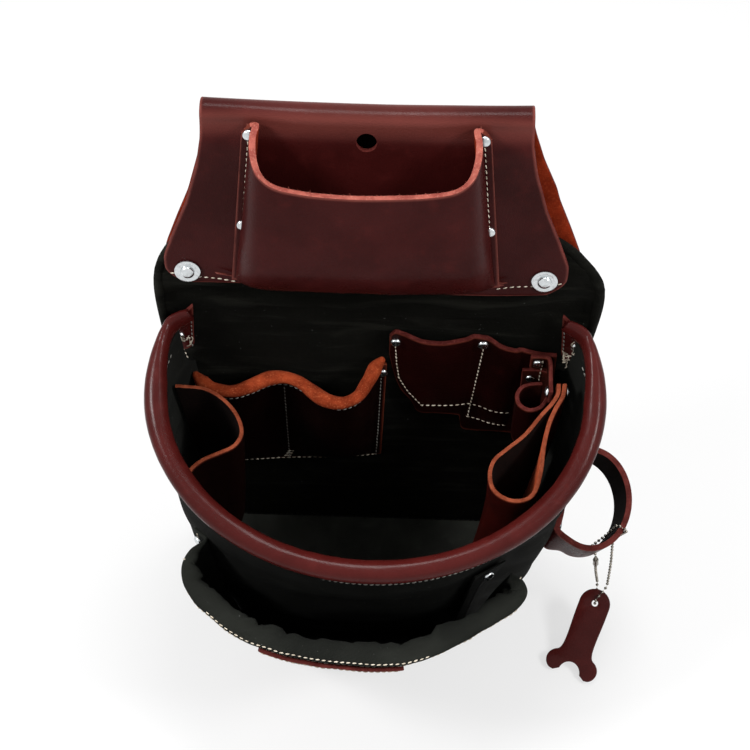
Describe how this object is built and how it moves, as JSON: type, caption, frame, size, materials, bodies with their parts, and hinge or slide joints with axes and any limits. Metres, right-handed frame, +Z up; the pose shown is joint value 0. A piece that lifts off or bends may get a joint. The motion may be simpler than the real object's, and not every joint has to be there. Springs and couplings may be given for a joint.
{
  "type": "belt tool pouch",
  "caption": "Belt tool pouch: a canvas bag with a rolled leather rim on a folded leather belt hanger, with leather inner pockets, holster, front pouch, hammer loop and chained tag.",
  "frame": {"origin": "middle of the flat underside of the bag's base, which it stands on", "axes": "+X to the right seen from the front, +Y back towards the wearer, +Z up"},
  "size_m": [0.3044, 0.2167, 0.3955],
  "materials": {
    "burgundy_leather": "smooth oiled hair side, dark burgundy, light wear at edges",
    "suede_leather": "rough flesh side, orange brown",
    "black_canvas": "heavy woven canvas, matte, near black",
    "nickel": "nickel plated, bright",
    "core_cord": "hidden core of the rim"
  },
  "bodies": {
    "pouch": {"back_panel": "black_canvas", "belt_hanger": "burgundy_leather", "chain_upper_loop": "nickel", "front_pouch": "black_canvas", "hammer_loop": "burgundy_leather", "hanger_rivet_left": "nickel", "hanger_rivet_right": "nickel", "holster": "suede_leather", "holster_rivet_back": "nickel", "holster_rivet_front": "nickel", "holster_strap": "suede_leather", "left_pocket_binding": "suede_leather", "left_pocket_rivet": "nickel", "left_pockets": "burgundy_leather", "left_side_pocket": "suede_leather", "loop_rivet_back": "nickel", "loop_rivet_front": "nickel", "main_bag": "black_canvas", "pouch_patch": "burgundy_leather", "pouch_rivet_left": "nickel", "pouch_rivet_right": "nickel", "right_pocket_rivet_left": "nickel", "right_pocket_rivet_middle": "nickel", "right_pockets": "burgundy_leather", "rim_core": "core_cord", "rim_rivet_left": "nickel", "rim_rivet_right": "nickel", "rim_roll": "burgundy_leather", "rim_tab_left": "burgundy_leather", "rim_tab_right": "burgundy_leather", "strap_rivet": "nickel", "tape_pocket": "burgundy_leather", "tape_rivet_lower_left": "nickel", "tape_rivet_lower_right": "nickel", "tape_rivet_upper_left": "nickel", "tape_rivet_upper_right": "nickel", "tool_loop": "suede_leather", "tool_loop_rivet": "nickel", "washer_back_left": "nickel", "washer_back_right": "nickel", "washer_front_left": "nickel", "washer_front_right": "nickel"},
    "chain": {"chain_strand_left": "nickel", "chain_strand_right": "nickel", "chain_clasp": "nickel"},
    "tag": {"chain_tag_loop": "nickel", "wrench_tag": "burgundy_leather"}
  },
  "joints": [
    {"name": "chain_swing", "type": "hinge", "parent": "pouch", "child": "chain", "pos_m": [0.15787, -0.02381, 0.08984], "axis": [0.6875, 0.6283, 0.3641], "range_deg": [-60, 20]},
    {"name": "tag_swing", "type": "hinge", "parent": "chain", "child": "tag", "pos_m": [0.16048, -0.02129, 0.03538], "axis": [0.9563, -0.2924, 0], "range_deg": [-20, 50]}
  ]
}
